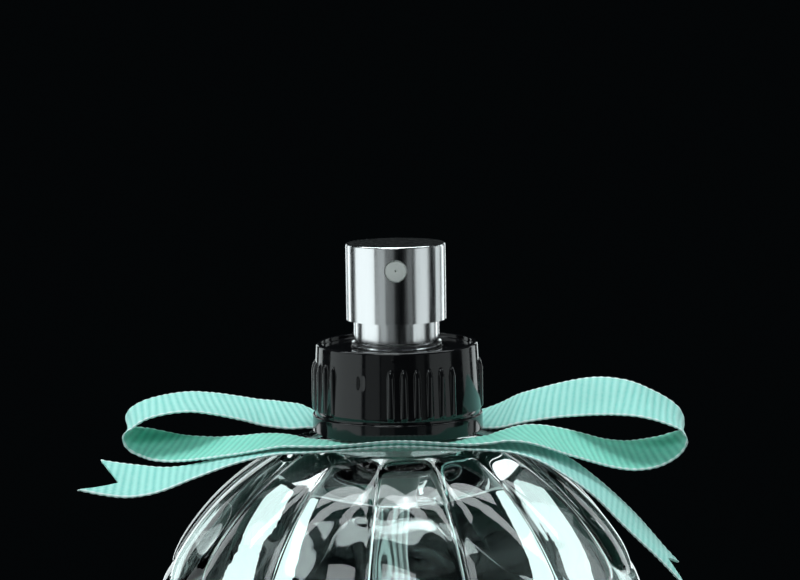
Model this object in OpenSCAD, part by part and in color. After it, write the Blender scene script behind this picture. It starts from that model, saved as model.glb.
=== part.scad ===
// Perfume atomiser: a gadrooned glass bottle with a crimped spray pump, a ribbed
// collar, a press-down spray head and a flat ribbon bow tied under the collar.
// Millimetres. Origin at the centre of the base, +Z up, the nozzle points to -Y.

/* [Bottle] */
// Outside radius of the round body, over the crests of the lobes
body_r = 36.9; // [30:0.1:45]
// How much of the round body the flat base cuts off
base_cut = 5.9; // [3:0.1:8]
// How far the flat shoulder lies below the round body's top
shoulder_cut = 2.9; // [1.5:0.1:5]
// Radius of the flat shoulder
shoulder_r = 14.5; // [12:0.5:18]
// Number of rounded lobes around the body
lobe_count = 14; // [8:1:20]
// Angle from the front (-Y) to the centre of the first lobe
lobe_turn = 4.3; // [0:0.1:25]
// Distance from the bottle's axis to the upright axis of each lobe
lobe_axis_r = 18; // [14:0.5:22]
// Depth of the valleys between the lobe tips, from the crests
valley_depth = 1.4; // [0.6:0.1:2.4]
// Thickness of the glass
glass_wall = 8.4; // [4:0.1:12]

/* [Neck] */
// Radius of the neck below its bead
neck_r = 6.6; // [6:0.1:8]
// Radius of the bead that the ferrule grips
bead_r = 7.5; // [7:0.1:9]
// Radius of the bore through the neck
neck_bore_r = 4.75; // [4.4:0.05:5.4]
// Height of the neck above the shoulder
neck_h = 10.4; // [9:0.1:14]
// Height of the bead
bead_h = 3; // [2:0.1:4]

/* [Perfume] */
// How far the perfume's surface lies below the shoulder
fill_drop = 9.6; // [9:0.2:40]

/* [Pump] */
// Stroke of the spray head
stroke = 3.6; // [2.5:0.1:4.4]
// Radius of the cylinder that the piston runs in
cylinder_r = 3; // [2.8:0.05:3.6]
// Wall of the pump housing
housing_wall = 1; // [0.7:0.05:1.2]
// Gap between the housing's flange and the ferrule's skirt
flange_gap = 0.35; // [0.1:0.05:0.8]
// Thickness of the housing's flange
flange_t = 0.9; // [0.6:0.1:1.4]
// Thickness of the gasket on the neck
gasket_t = 0.8; // [0.5:0.1:1.2]
// Radius of the stem
stem_r = 1.5; // [1.3:0.05:1.8]
// Radius of the bore in the stem
stem_bore_r = 0.6; // [0.4:0.05:0.8]
// Radius of the inlet ball
ball_r = 1; // [0.8:0.05:1.2]
// How far the inlet ball can lift
ball_lift = 0.8; // [0.4:0.1:1]
// Diameter of the return spring's wire
return_wire = 0.45; // [0.3:0.05:0.5]
// Diameter of the small spring's wire
small_wire = 0.24; // [0.15:0.01:0.3]
// Outside radius of the dip tube
tube_r = 1.25; // [1:0.05:1.5]
// Wall of the dip tube
tube_wall = 0.4; // [0.3:0.05:0.5]
// Gap between the dip tube's end and the bottom of the glass
tube_gap = 1.6; // [0.5:0.1:4]

/* [Ferrule] */
// Thickness of the ferrule's metal
ferrule_wall = 0.4; // [0.3:0.05:0.5]
// Outside radius of the turret
turret_r = 6; // [5.6:0.1:7.2]
// How far the rolled ring at the turret's foot stands out
ring_proud = 0.3; // [0.1:0.05:0.4]

/* [Collar] */
// Hollow between the collar's inner sleeve and its wall
collar_hollow = 1.5; // [1:0.1:3]
// How far the collar's base band stands out beyond its top
collar_lean = 0.6; // [0.3:0.1:1.2]
// Gap between the collar and the glass shoulder, where the ribbon lies
ribbon_gap = 1.3; // [1:0.1:2]
// Height of the collar's base band
band_h = 2.4; // [1.5:0.1:4]
// Wall of the collar
collar_wall = 1; // [0.8:0.1:1.4]
// How far the collar's rim stands above its floor
rim_h = 0.55; // [0.3:0.05:1.5]
// Ribs in each of the four groups
ribs_per_group = 6; // [3:1:8]
// Angle from one rib to the next
rib_step = 9; // [6:0.5:11]
// Radius of a rib
rib_r = 0.5; // [0.3:0.05:0.7]
// How far a rib's crest stands out of the wall
rib_proud = 0.5; // [0.2:0.05:0.5]
// Angle from the front (-Y) to the centre of the first group
group_turn = 18; // [0:1:45]

/* [Spray head] */
// Gap between the turret and the metal shell
shell_gap = 0.5; // [0.3:0.1:1.5]
// Height of the metal shell
shell_h = 10.7; // [9:0.1:14]
// Wall of the metal shell
shell_wall = 0.5; // [0.3:0.05:0.5]
// How far the shell covers the turret when the head is up
shell_lap = 0.6; // [0.3:0.1:1]
// Gap left between the shell and the collar when the head is pressed down
press_gap = 0.25; // [0.1:0.05:1]
// Radius of the nozzle
nozzle_r = 1.55; // [1.2:0.05:2]
// Depth of the nozzle's centre below the shell's top
nozzle_drop = 3.3; // [2.6:0.1:5]
// Depth of the nozzle insert
nozzle_depth = 2; // [1.4:0.1:2.6]

/* [Ribbon] */
// Width of the ribbon
ribbon_w = 7; // [5:0.5:9]
// Thickness of the ribbon
ribbon_t = 0.4; // [0.25:0.05:0.5]
// Depth of the notch in each tail's end
notch = 4; // [0:0.5:6]

/* [Hidden] */
$fn = 96;
eps = 0.01;

// Clearances: a running fit and a slip fit.
running = 0.05;
slip = 0.02;

body_z = body_r - base_cut;
shoulder_z = body_z + body_r - shoulder_cut;
shoulder_slope_h = 3.2;
shoulder_spread = 4;
neck_top = shoulder_z + neck_h;
neck_root = 2;
bead_bottom = neck_top - bead_h;
bead_slope = bead_r - neck_r;
lobe_pitch = 360 / lobe_count;
cavity_r = body_r - glass_wall;
cavity_bottom = body_z - cavity_r;
lobe_reach = sqrt(body_r * body_r - lobe_axis_r * lobe_axis_r);
fill_z = shoulder_z - fill_drop;

skirt_in = bead_r + running;
skirt_out = skirt_in + ferrule_wall;
flange_r = skirt_in - flange_gap;
flange_z = neck_top + gasket_t;
flange_top = flange_z + flange_t;

// The stem, the piston and the rod hang from the housing's retainer.
plug_depth = 1.95;
plug_bottom = flange_top - plug_depth;
stem_lip = 0.8;
stem_flange_t = 0.85;
stem_flange_r = stem_r + stem_lip;
stem_flange_z = plug_bottom - running - stem_flange_t;
small_spring_h = 2;
small_spring_turns = 4;
small_spring_gap = 0.27;
small_spring_play = 0.25;
// How far the piston moves for each millimetre of stroke.
piston_share = 0.95;
piston_h = 2.6;
piston_lip = 0.5;
piston_relief = 0.35;
piston_top = stem_flange_z - small_spring_h;
piston_z = piston_top - piston_h;
stem_socket = 1;
stem_bottom = piston_top - stem_socket;
stem_play = (1 - piston_share) * stroke + 0.1;
needle_r = stem_bore_r - 0.1;
needle_reach = 1.5;
rod_play = 0.1;
rod_head_top = piston_z - rod_play;
rod_head_t = 0.9;
rod_head_z = rod_head_top - rod_head_t;
rod_guide_r = 1.15;
rod_guide_h = 2.1;
rod_guide_tip = 0.4;

// The housing is as deep as the stroke and the closed return spring need.
piston_end_gap = 0.23;
cylinder_bottom = piston_z - piston_share * stroke - piston_end_gap;
spring_ledge = 0.65;
spring_bore_r = cylinder_r - spring_ledge;
spring_turns = 7;
spring_spare = 0.9;
spring_gap = 0.475;
spring_seat_z = rod_head_z - stroke - spring_turns * return_wire - spring_spare;
rod_head_r = spring_bore_r - 0.15;
housing_r = cylinder_r + housing_wall;
spring_housing_r = spring_bore_r + housing_wall;
housing_step = 1;
lead_in = 0.7;

ball_gap = 0.25;
ball_spare = 0.6;
ball_chamber_r = ball_r + ball_gap;
seat_z = spring_seat_z - ball_lift - ball_spare;
inlet_r = 0.6;
inlet_h = 1.2;
seat_drop = ball_chamber_r - inlet_r;
socket_z = seat_z - seat_drop - inlet_h;
socket_depth = 4.5;
tail_wall = 0.9;
tail_r = tube_r + tail_wall;
tail_bottom = socket_z - socket_depth;
tail_cone_h = 1.2;

retainer_h = 2.1;
retainer_gap = 0.2;
retainer_top = flange_top + retainer_h;
retainer_r = turret_r - ferrule_wall - retainer_gap;
seal_t = 0.8;
seal_r = 3;

ferrule_top = flange_top + ferrule_wall;
crimp_drop = 0.45;
crimp_z = bead_bottom - bead_slope - crimp_drop;
crimp_r = neck_r + 0.15;
turret_lip = 1.4;
ring_r = turret_r + ring_proud;
ring_h = 0.9;
ring_slope_h = 0.25;

collar_bottom = shoulder_z + ribbon_gap;
sleeve_in = skirt_out + running;
sleeve_wall = 0.9;
sleeve_out = sleeve_in + sleeve_wall;
sleeve_lift = 1.2;
collar_top_r = sleeve_out + collar_hollow + collar_wall;
collar_r = collar_top_r + collar_lean;
floor_z = ferrule_top + running;
floor_t = 0.5;
floor_top = floor_z + floor_t;
collar_top = floor_top + rim_h;
rim_wall = 0.8;
rim_fillet = 0.35;
band_top = collar_bottom + band_h;
band_step = 0.25;
wall_step = 0.1;
step_h = 0.7;
rib_bottom = band_top + step_h;
rib_tip = collar_top - 2.4;
rib_taper = 1.6;
rib_point_r = 0.05;
ring_z = floor_top + 0.1;
ring_gap = 0.1;

shell_r = turret_r + shell_gap + shell_wall;
shell_bottom = floor_top + stroke + press_gap;
shell_top = shell_bottom + shell_h;
shell_in = shell_r - shell_wall;
shell_fillet = 0.3;
turret_top = shell_bottom + shell_lap;
nozzle_z = shell_top - nozzle_drop;
insert_r = shell_in - running;
insert_top = shell_top - shell_wall - running;
insert_bottom = turret_top + stroke + 0.3;
insert_cap_t = 1.4;
insert_skin = 0.9;
hub_r = 3.2;
hub_bottom = retainer_top + stroke + 0.2;
socket_top = nozzle_z - 0.3;
boss_r = nozzle_r + 0.85;
passage_r = 0.4;
nozzle_recess = 0.15;
nozzle_face_t = 0.5;
orifice_r = 0.18;
orifice_mouth_r = 0.45;
orifice_mouth_h = 0.3;
swirl_r = 0.9;

// Heights of the ribbon's layers above the glass shoulder.
tail_lift = ribbon_t / 2 + 0.05;
loop_lift = tail_lift + ribbon_t + 0.1;
back_lift = ribbon_t / 2 + 0.1;
strand_y = neck_r + ribbon_w / 2 + 0.3;

// ---------- helpers ----------

// A tube standing on z.
module tube(r_out, r_in, z, h) {
  difference() {
    translate([0, 0, z])
      cylinder(r = r_out, h = h);
    translate([0, 0, z - eps])
      cylinder(r = r_in, h = h + 2 * eps);
  }
}

// A cylinder standing on z.
module disc(r, z, h) {
  translate([0, 0, z])
    cylinder(r = r, h = h);
}

// A cone from radius r1 at z to radius r2.
module cone(r1, r2, z, h) {
  translate([0, 0, z])
    cylinder(r1 = r1, r2 = r2, h = h);
}

// A disc whose top edge is rounded, with its top at z_top.
module rounded_top(r, fillet, z_top) {
  disc(r - fillet, z_top - fillet - eps, fillet + eps);
  translate([0, 0, z_top - fillet])
    rotate_extrude()
      translate([r - fillet, 0])
        intersection() {
          circle(r = fillet);
          square([fillet, fillet]);
        }
}

// ---------- bottle ----------

// One lobe: the round body's own arc, turned about an upright line. Only its outer part is
// kept, because the core fills the rest.
module lobe() {
  keep_r = 2 * lobe_axis_r / 3;
  intersection() {
    translate([0, -lobe_axis_r, body_z])
      rotate_extrude()
        intersection() {
          translate([-lobe_axis_r, 0])
            circle(r = body_r, $fn = 180);
          translate([0, -lobe_reach])
            square([body_r, 2 * lobe_reach]);
        }
    translate([-body_r, -keep_r - 2 * body_r, 0])
      cube([2 * body_r, 2 * body_r, 2 * body_r]);
  }
}

module lobes() {
  for (i = [0 : lobe_count - 1])
    rotate([0, 0, lobe_turn + i * lobe_pitch])
      lobe();
}

// The round core that shows between the tips of the lobes.
module core() {
  translate([0, 0, body_z])
    sphere(r = body_r - valley_depth, $fn = 180);
}

// The low cone that carries the flat shoulder.
module shoulder() {
  cone(shoulder_r + shoulder_spread, shoulder_r, shoulder_z - shoulder_slope_h,
       shoulder_slope_h);
}

module neck() {
  disc(neck_r, shoulder_z - neck_root, neck_h + neck_root - bead_h);
  cone(neck_r, bead_r, bead_bottom - bead_slope, bead_slope);
  disc(bead_r, bead_bottom, bead_h);
}

module glass_bottle() {
  color([0.86, 0.93, 0.92, 0.45])
    difference() {
      union() {
        intersection() {
          union() {
            core();
            lobes();
          }
          disc(2 * body_r, 0, shoulder_z);
        }
        shoulder();
        neck();
      }
      translate([0, 0, body_z])
        sphere(r = cavity_r, $fn = 180);
      disc(neck_bore_r, body_z, neck_top - body_z + 1);
    }
}

module perfume_fill() {
  color([0.72, 0.9, 0.88, 0.5])
    difference() {
      intersection() {
        translate([0, 0, body_z])
          sphere(r = cavity_r - slip, $fn = 180);
        disc(body_r, 0, fill_z);
      }
      disc(tube_r + slip, cavity_bottom, tail_bottom - cavity_bottom);
      housing_outside(slip);
    }
}

// ---------- pump ----------

module dip_tube() {
  color([0.95, 0.96, 0.95])
    tube(tube_r, tube_r - tube_wall, cavity_bottom + tube_gap,
         socket_z - cavity_bottom - tube_gap);
}

// The housing's outside below its flange, grown by a clearance.
module housing_outside(grow) {
  cylinder_foot = cylinder_bottom - housing_step;
  spring_foot = spring_seat_z - housing_step;
  disc(housing_r + grow, cylinder_foot, flange_z - cylinder_foot + eps);
  cone(spring_housing_r + grow, housing_r + grow, cylinder_foot - housing_step, housing_step);
  disc(spring_housing_r + grow, spring_foot, cylinder_foot - spring_foot);
  cone(tail_r + grow, spring_housing_r + grow, spring_foot - tail_cone_h, tail_cone_h);
  disc(tail_r + grow, tail_bottom - grow, spring_foot - housing_step - tail_bottom + grow);
}

module pump_housing() {
  color([0.93, 0.94, 0.94])
    difference() {
      union() {
        disc(flange_r, flange_z, flange_t);
        housing_outside(0);
      }
      disc(cylinder_r, cylinder_bottom, flange_top - cylinder_bottom + 1);
      cone(spring_bore_r, cylinder_r, cylinder_bottom - lead_in, lead_in + eps);
      disc(spring_bore_r, spring_seat_z, cylinder_bottom - spring_seat_z);
      disc(ball_chamber_r, seat_z, spring_seat_z - seat_z + eps);
      cone(inlet_r, ball_chamber_r, seat_z - seat_drop, seat_drop + eps);
      disc(inlet_r, socket_z - eps, seat_z - socket_z);
      disc(tube_r + slip, tail_bottom - eps, socket_depth + eps);
    }
}

// The ball rests on the 45 degree seat.
module inlet_ball() {
  rest_z = seat_z - ball_chamber_r + ball_r * sqrt(2) + slip;
  color([0.75, 0.76, 0.78])
    translate([0, 0, rest_z])
      sphere(r = ball_r);
}

// A wire coil with flat-lying end turns.
module coil(mean_r, wire_r, z0, z1, turns) {
  per_turn = 18;
  sides = 8;
  steps = round(turns * per_turn);
  height = z1 - z0 - 2 * wire_r;
  function rise(t) = t < 1 / turns ? 0 : t > 1 - 1 / turns ? 1
    : (t - 1 / turns) / (1 - 2 / turns);
  function pitch_at(t) = z0 + wire_r + height * (
    t < 1 / turns ? 0.06 * t * turns
    : t > 1 - 1 / turns ? 1 - 0.06 * (1 - t) * turns
    : 0.06 + 0.88 * rise(t));
  pts = [for (i = [0 : steps]) for (j = [0 : sides - 1])
    let (t = i / steps, a = 360 * turns * t, b = 360 * j / sides,
         r = mean_r + wire_r * cos(b))
    [r * cos(a), r * sin(a), pitch_at(t) + wire_r * sin(b)]];
  sides_faces = [for (i = [0 : steps - 1]) for (j = [0 : sides - 1])
    let (k = (j + 1) % sides, p = i * sides)
    each [[p + j, p + k, p + sides + k], [p + j, p + sides + k, p + sides + j]]];
  first = [[for (j = [sides - 1 : -1 : 0]) j]];
  last = [[for (j = [0 : sides - 1]) steps * sides + j]];
  polyhedron(points = pts, faces = concat(sides_faces, first, last));
}

module return_spring() {
  color([0.7, 0.72, 0.74])
    coil(rod_guide_r + spring_gap + return_wire / 2, return_wire / 2,
         spring_seat_z + slip, rod_head_z - slip, spring_turns);
}

module plunger_rod() {
  color([0.9, 0.9, 0.92]) {
    disc(rod_head_r, rod_head_z, rod_head_t);
    disc(rod_guide_r, rod_head_z - rod_guide_h + rod_guide_tip,
         rod_guide_h - rod_guide_tip + eps);
    cone(rod_guide_r - rod_guide_tip, rod_guide_r, rod_head_z - rod_guide_h,
         rod_guide_tip + eps);
    disc(needle_r, rod_head_top - eps, stem_bottom - rod_head_top + needle_reach);
  }
}

module piston() {
  color([0.96, 0.96, 0.96])
    difference() {
      union() {
        disc(cylinder_r - running, piston_z, piston_lip);
        disc(cylinder_r - piston_relief, piston_z, piston_h);
        disc(cylinder_r - running, piston_top - piston_lip, piston_lip);
      }
      disc(stem_r + running, stem_bottom - stem_play, piston_h);
      disc(stem_bore_r + 0.25, piston_z - eps, piston_h);
    }
}

module precompression_spring() {
  color([0.72, 0.73, 0.76])
    coil(stem_r + small_spring_gap + small_wire / 2, small_wire / 2,
         piston_top + slip, stem_flange_z - small_spring_play, small_spring_turns);
}

module pump_stem() {
  color([0.92, 0.93, 0.93])
    difference() {
      union() {
        disc(stem_r, stem_bottom, socket_top - stem_bottom);
        disc(stem_flange_r, stem_flange_z, stem_flange_t);
      }
      disc(stem_bore_r, stem_bottom - eps, socket_top - stem_bottom + 2 * eps);
    }
}

module housing_retainer() {
  color([0.9, 0.91, 0.92])
    difference() {
      union() {
        disc(retainer_r, flange_top, retainer_top - flange_top);
        disc(cylinder_r - slip, plug_bottom, flange_top - plug_bottom + eps);
      }
      disc(stem_r + running, plug_bottom - eps, retainer_top - plug_bottom + 1);
      disc(seal_r, retainer_top - seal_t, seal_t + eps);
    }
}

module stem_gasket() {
  color([0.25, 0.26, 0.27])
    tube(seal_r - slip, stem_r + slip, retainer_top - seal_t, seal_t);
}

module neck_gasket() {
  color([0.85, 0.86, 0.84])
    tube(flange_r, housing_r + slip, neck_top, gasket_t);
}

// ---------- ferrule and collar ----------

module crimp_ferrule() {
  color([0.85, 0.86, 0.87])
    difference() {
      union() {
        disc(skirt_out, crimp_z, ferrule_top - crimp_z);
        disc(turret_r, ferrule_top - eps, turret_top - ferrule_top + eps);
        disc(ring_r, ring_z + ring_slope_h, ring_h - 2 * ring_slope_h);
        cone(turret_r, ring_r, ring_z, ring_slope_h);
        cone(ring_r, turret_r, ring_z + ring_h - ring_slope_h, ring_slope_h);
      }
      disc(skirt_in, crimp_z + ferrule_wall, flange_top - crimp_z - ferrule_wall);
      disc(crimp_r, crimp_z - eps, ferrule_wall + 2 * eps);
      disc(turret_r - ferrule_wall, flange_top - eps,
           turret_top - ferrule_wall - flange_top + eps);
      disc(turret_r - turret_lip, flange_top, turret_top - flange_top + 1);
    }
}

// One rib: an upright rod half sunk in the wall, with a pointed top.
module rib() {
  r_mid = collar_r - collar_lean / 2 + rib_proud - rib_r;
  translate([0, -r_mid, 0]) {
    disc(rib_r, rib_bottom, rib_tip - rib_taper - rib_bottom);
    cone(rib_r, rib_point_r, rib_tip - rib_taper, rib_taper);
  }
}

module rib_groups() {
  for (g = [0 : 3])
    for (i = [0 : ribs_per_group - 1])
      rotate([0, 0, group_turn + g * 90 + (i - (ribs_per_group - 1) / 2) * rib_step])
        rib();
}

module collar_shell() {
  wall_top = collar_top - rim_fillet;
  // Base band, a small step, then the wall that leans in to the rim.
  disc(collar_r, collar_bottom, band_h);
  disc(collar_r - band_step, band_top - eps, step_h + eps);
  cone(collar_r - wall_step, collar_top_r, rib_bottom - eps, wall_top - rib_bottom + eps);
  rounded_top(collar_top_r, rim_fillet, collar_top);
}

module collar() {
  color([0.05, 0.05, 0.055])
    difference() {
      union() {
        collar_shell();
        rib_groups();
      }
      disc(collar_top_r - rim_wall, floor_top, rim_h + 1);
      difference() {
        disc(collar_top_r - collar_wall, collar_bottom - eps, floor_z - collar_bottom + eps);
        disc(sleeve_out, collar_bottom + sleeve_lift, floor_z - collar_bottom);
      }
      disc(sleeve_in, collar_bottom - eps, floor_z - collar_bottom + eps);
      disc(ring_r + ring_gap, floor_z - eps, floor_t + 1);
    }
}

// ---------- spray head ----------

module actuator_insert() {
  color([0.9, 0.91, 0.91])
    difference() {
      union() {
        disc(insert_r, insert_top - insert_cap_t, insert_cap_t);
        tube(insert_r, insert_r - insert_skin, insert_bottom, insert_top - insert_bottom);
        disc(hub_r, hub_bottom, insert_top - hub_bottom);
        intersection() {
          translate([0, 0, nozzle_z])
            rotate([90, 0, 0])
              cylinder(r = boss_r, h = insert_r);
          disc(insert_r, insert_bottom, insert_top - insert_bottom);
        }
      }
      disc(stem_r, hub_bottom - eps, socket_top - hub_bottom + eps);
      translate([0, 0, nozzle_z])
        rotate([90, 0, 0])
          cylinder(r = passage_r, h = insert_r);
      disc(passage_r, socket_top - eps, nozzle_z - socket_top);
      translate([0, -shell_r + nozzle_recess + nozzle_depth, nozzle_z])
        rotate([90, 0, 0])
          cylinder(r = nozzle_r, h = shell_r);
    }
}

module actuator_shell() {
  color([0.82, 0.83, 0.84])
    difference() {
      union() {
        disc(shell_r, shell_bottom, shell_h - shell_fillet);
        rounded_top(shell_r, shell_fillet, shell_top);
      }
      disc(shell_in, shell_bottom - eps, shell_h - shell_wall + eps);
      translate([0, 0, nozzle_z])
        rotate([90, 0, 0])
          cylinder(r = nozzle_r + slip, h = shell_r + 1);
    }
}

module nozzle_insert() {
  color([0.93, 0.94, 0.93])
    translate([0, -shell_r + nozzle_recess, nozzle_z])
      rotate([-90, 0, 0])
        difference() {
          cylinder(r = nozzle_r - slip / 2, h = nozzle_depth - slip);
          translate([0, 0, -eps])
            cylinder(r = orifice_r, h = nozzle_depth + 1);
          translate([0, 0, nozzle_face_t])
            cylinder(r = swirl_r, h = nozzle_depth);
          translate([0, 0, -eps])
            cylinder(r1 = orifice_mouth_r, r2 = orifice_r, h = orifice_mouth_h);
        }
}

// ---------- ribbon ----------
// A ribbon's stations are [x, y, z, tilt, turn] of its centre line. Tilt lifts its back
// edge, turn swings its back edge towards +X. Heights are above the glass shoulder.

right_loop_path = [
  [0, -strand_y, loop_lift, 0, 0],
  [5, -strand_y + 0.05, loop_lift, 0, 0],
  [9, -strand_y + 0.4, 0.8, 0, 0],
  [12.2, -9.6, 1.1, 0, 0],
  [14.6, -9, 1.4, 2, 0],
  [17.3, -7.8, 1.3, 8, 0],
  [20.3, -6, 0.7, 15, 0],
  [23.4, -4.4, -0.3, 20, 0],
  [26.5, -3, -1.4, 23, 0],
  [29.6, -2, -2.4, 22, 0],
  [32.8, -1.1, -2.9, 22, 0],
  [35.9, -0.4, -2.6, 23, 0],
  [38.6, 0, -1.6, 20, 2],
  [40.2, 0.1, -0.1, 14, 4],
  [39.6, 0.1, 1.9, 18, 4],
  [37.3, 0, 3.4, 26, 2],
  [34.2, 0, 4.6, 32, 0],
  [31.1, 0.5, 5.2, 36, 0],
  [28, 1.1, 5.3, 37, 0],
  [24.6, 2.1, 4.9, 35, 0],
  [21, 3.4, 4.1, 31, 0],
  [17.6, 4.9, 3.1, 25, 0],
  [14.3, 7.2, 1.8, 16, 0],
  [10.6, 9.4, 0.9, 5, 0],
  [6, strand_y - 0.1, back_lift, 0, 0],
  [0, strand_y, back_lift, 0, 0]
];

left_loop_path = [
  [0, strand_y, back_lift, 0, 0],
  [-6, strand_y - 0.1, back_lift, 0, 0],
  [-10.6, 9.3, 1.05, 5, 0],
  [-13.6, 7.6, 1.95, 15, 0],
  [-16.6, 6.1, 2.4, 22, 0],
  [-19.6, 4.9, 3, 21, 0],
  [-22.7, 3.6, 3.9, 17, 0],
  [-26, 2.2, 4.7, 15, 0],
  [-29.4, 1, 5.2, 15, 0],
  [-32.8, 0.2, 5, 15, 0],
  [-35.5, 0, 4.2, 14, -2],
  [-37.2, 0, 2.9, 17, -2],
  [-37.5, 0, 1.5, 22, -2],
  [-36.4, -0.1, 0.3, 26, -2],
  [-34.4, -0.4, -0.5, 26, 0],
  [-31.9, -1.3, -0.9, 22, 0],
  [-29, -2.3, -0.9, 18, 0],
  [-26, -3.6, -0.6, 13, 0],
  [-22.8, -5.2, 0, 8, 0],
  [-19.2, -6.9, 0.7, 6, 0],
  [-15.8, -8.4, 1.1, 3, 0],
  [-12.6, -9.5, 1, 0, 0],
  [-9, -strand_y + 0.4, 0.8, 0, 0],
  [-5, -strand_y + 0.05, loop_lift, 0, 0],
  [0, -strand_y, loop_lift, 0, 0]
];

left_tail_path = [
  [0, -strand_y, tail_lift, 0, 0],
  [-5, -strand_y + 0.05, tail_lift, 0, 0],
  [-9, -strand_y + 0.3, 0.25, 0, 0],
  [-12.5, -9.8, 0.25, 0, 0],
  [-16, -9.5, 0.15, 0, 0],
  [-19.7, -9.2, -0.4, 1, 0],
  [-23.4, -9, -1.3, 3, 0],
  [-27.7, -9, -2.6, 8, 0],
  [-32.3, -9, -3.7, 17, 0],
  [-36.4, -9, -3.9, 26, 0],
  [-40, -9, -3.5, 29, 0],
  [-43.4, -9, -2.8, 30, 0]
];

right_tail_path = [
  [0, -strand_y, tail_lift, 0, 0],
  [5, -strand_y + 0.05, tail_lift, 0, 0],
  [9, -strand_y + 0.3, 0.25, 0, 0],
  [12.5, -9.8, 0.2, 0, 2],
  [16, -9.4, -0.1, 2, 5],
  [19.8, -8.9, -1.2, 5, 8],
  [23.6, -8.2, -3.3, 9, 8],
  [27.3, -7.5, -6.2, 9, 8],
  [31, -7, -9.8, 9, 8],
  [34.4, -6.5, -13.3, 9, 8],
  [37.1, -6.2, -16.3, 10, 6],
  [39.9, -6.1, -19.4, 11, 4]
];

function unit(v) = v / norm(v);

// A smooth curve through the stations (Catmull-Rom), u runs from 0 to len - 1.
function along(path, u) =
  let (n = len(path), i = min(floor(u), n - 2), t = u - i,
       a = path[max(i - 1, 0)], b = path[i], c = path[i + 1], d = path[min(i + 2, n - 1)])
  0.5 * (2 * b + (c - a) * t + (2 * a - 5 * b + 4 * c - d) * t * t
    + (3 * b - a - 3 * c + d) * t * t * t);

function centre(p) = [p[0], p[1], p[2] + shoulder_z];

function heading(path, u) =
  let (h = 0.05, n = len(path) - 1)
  unit(centre(along(path, min(u + h, n))) - centre(along(path, max(u - h, 0))));

// The width direction, square to the run of the ribbon.
function across(path, u) =
  let (p = along(path, u), f = heading(path, u),
       w = [sin(p[4]) * cos(p[3]), cos(p[4]) * cos(p[3]), sin(p[3])])
  unit(w - f * (w * f));

// A point on the ribbon: v runs -1 to 1 across it, side is 1 on top and -1 below.
function ribbon_point(path, u, v, side) =
  let (w = across(path, u), f = heading(path, u), up = cross(f, w))
  centre(along(path, u)) + w * (v * ribbon_w / 2) + up * (side * ribbon_t / 2);

// A flat ribbon along a path, with a notch cut in its far end.
module ribbon(path, notch_depth) {
  per_station = 4;
  cuts = [-1, -0.5, 0, 0.5, 1];
  n = len(path) - 1;
  steps = n * per_station;
  end_run = norm(centre(path[n]) - centre(path[n - 1]));
  notch_u = notch_depth / end_run;
  ring = concat([for (v = cuts) [v, 1]], [for (i = [4 : -1 : 0]) [cuts[i], -1]]);
  m = len(ring);
  pts = [for (i = [0 : steps]) for (q = ring)
    let (u_end = n - notch_u * (1 - abs(q[0])))
    ribbon_point(path, u_end * i / steps, q[0], q[1])];
  wall = [for (i = [0 : steps - 1]) for (j = [0 : m - 1])
    let (k = (j + 1) % m, p = i * m)
    each [[p + j, p + k, p + m + k], [p + j, p + m + k, p + m + j]]];
  function cap(p) = [for (j = [0 : 3])
    each [[p + j, p + j + 1, p + m - 2 - j], [p + j, p + m - 2 - j, p + m - 1 - j]]];
  start = [for (f = cap(0)) [f[2], f[1], f[0]]];
  polyhedron(points = pts, faces = concat(wall, start, cap(steps * m)));
}

module ribbon_loop_left() {
  color([0.6, 0.86, 0.79])
    ribbon(left_loop_path, 0);
}

module ribbon_loop_right() {
  color([0.55, 0.82, 0.75])
    ribbon(right_loop_path, 0);
}

module ribbon_tail_left() {
  color([0.65, 0.88, 0.82])
    ribbon(left_tail_path, notch);
}

module ribbon_tail_right() {
  color([0.6, 0.84, 0.78])
    ribbon(right_tail_path, notch);
}

// ---------- assembly ----------

glass_bottle();
perfume_fill();
dip_tube();
pump_housing();
inlet_ball();
return_spring();
plunger_rod();
piston();
precompression_spring();
pump_stem();
housing_retainer();
stem_gasket();
neck_gasket();
crimp_ferrule();
collar();
actuator_insert();
actuator_shell();
nozzle_insert();
ribbon_loop_left();
ribbon_loop_right();
ribbon_tail_left();
ribbon_tail_right();
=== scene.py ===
"""Perfume atomiser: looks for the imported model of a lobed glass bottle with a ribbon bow.

Run as a script, it builds every finished piece in metres, in the model's own frame:
origin at the centre of the base, +Z up, the nozzle towards -Y.
"""
import math

import bpy
import numpy as np
from mathutils import Matrix, Vector


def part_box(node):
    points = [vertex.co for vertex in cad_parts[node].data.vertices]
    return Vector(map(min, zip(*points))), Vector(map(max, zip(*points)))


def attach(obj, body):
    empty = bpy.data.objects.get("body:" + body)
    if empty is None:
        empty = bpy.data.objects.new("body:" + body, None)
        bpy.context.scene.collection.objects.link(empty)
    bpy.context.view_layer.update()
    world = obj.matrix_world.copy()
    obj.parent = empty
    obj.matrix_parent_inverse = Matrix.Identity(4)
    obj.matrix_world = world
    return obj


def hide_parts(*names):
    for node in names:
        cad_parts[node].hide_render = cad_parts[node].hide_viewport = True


bl_info = {
    "name": "Perfume Atomiser",
    "version": (1, 0, 0),
    "blender": (4, 5, 0),
    "location": "3D View > Sidebar > Atomiser",
    "description": "Builds and finishes a lobed glass perfume atomiser with a ribbon bow",
    "category": "Add Mesh",
}

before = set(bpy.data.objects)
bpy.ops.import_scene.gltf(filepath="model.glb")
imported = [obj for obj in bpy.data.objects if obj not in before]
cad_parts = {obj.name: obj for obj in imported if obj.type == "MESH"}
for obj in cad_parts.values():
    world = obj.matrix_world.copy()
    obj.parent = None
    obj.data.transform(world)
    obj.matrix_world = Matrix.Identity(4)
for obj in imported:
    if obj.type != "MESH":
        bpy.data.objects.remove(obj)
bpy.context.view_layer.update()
MM = 0.001


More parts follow.
